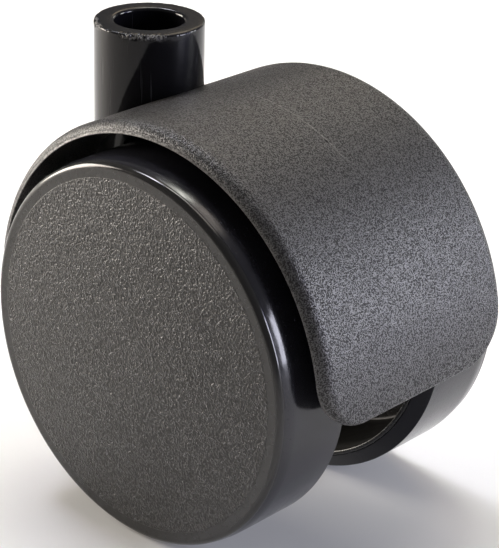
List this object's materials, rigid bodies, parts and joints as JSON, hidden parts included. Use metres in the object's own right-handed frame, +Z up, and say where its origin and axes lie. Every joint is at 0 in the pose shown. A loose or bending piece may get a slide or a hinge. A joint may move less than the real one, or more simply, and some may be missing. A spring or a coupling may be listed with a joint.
{
  "type": "furniture castor",
  "caption": "Hooded furniture castor: wheels turn on an axle under a curved cover, and an offset upright neck has a socket for a stem.",
  "frame": {"origin": "centre of the stem socket's mouth, on the swivel axis, at the top of the neck", "axes": "+Z up along the swivel axis, out of the socket; +X from the swivel axis towards the axle; +Y along the axle, to the castor's left"},
  "size_m": [0.0578, 0.042, 0.0597],
  "materials": {
    "grained_plastic": "fine spark-eroded grain",
    "gloss_plastic": "polished black",
    "wheel_plastic": "leather-grained disc, smooth ring",
    "tread_plastic": "glossy black",
    "ground_steel": "ground, zinc plated",
    "spring_steel": "blued spring wire and strip",
    "washer_steel": "tumbled, zinc plated",
    "bearing_plastic": "natural acetal"
  },
  "bodies": {
    "swivel_frame": {"hood": "grained_plastic", "chassis": "gloss_plastic", "axle_pin": "ground_steel", "stem_retaining_ring": "spring_steel", "stem_thrust_disc": "ground_steel", "thrust_washer_left": "washer_steel", "thrust_washer_right": "washer_steel", "axle_clip_left": "spring_steel", "axle_clip_right": "spring_steel"},
    "left_wheel": {"wheel_core_left": "wheel_plastic", "tread_ring_left": "tread_plastic", "hub_bush_left": "bearing_plastic"},
    "right_wheel": {"wheel_core_right": "wheel_plastic", "tread_ring_right": "tread_plastic", "hub_bush_right": "bearing_plastic"}
  },
  "joints": [
    {"name": "left_wheel_spin", "type": "hinge", "parent": "swivel_frame", "child": "left_wheel", "pos_m": [0.0178, 0.014, -0.0347], "axis": [0, 1, 0], "continuous": true},
    {"name": "right_wheel_spin", "type": "hinge", "parent": "swivel_frame", "child": "right_wheel", "pos_m": [0.0178, -0.014, -0.0347], "axis": [0, 1, 0], "continuous": true}
  ]
}
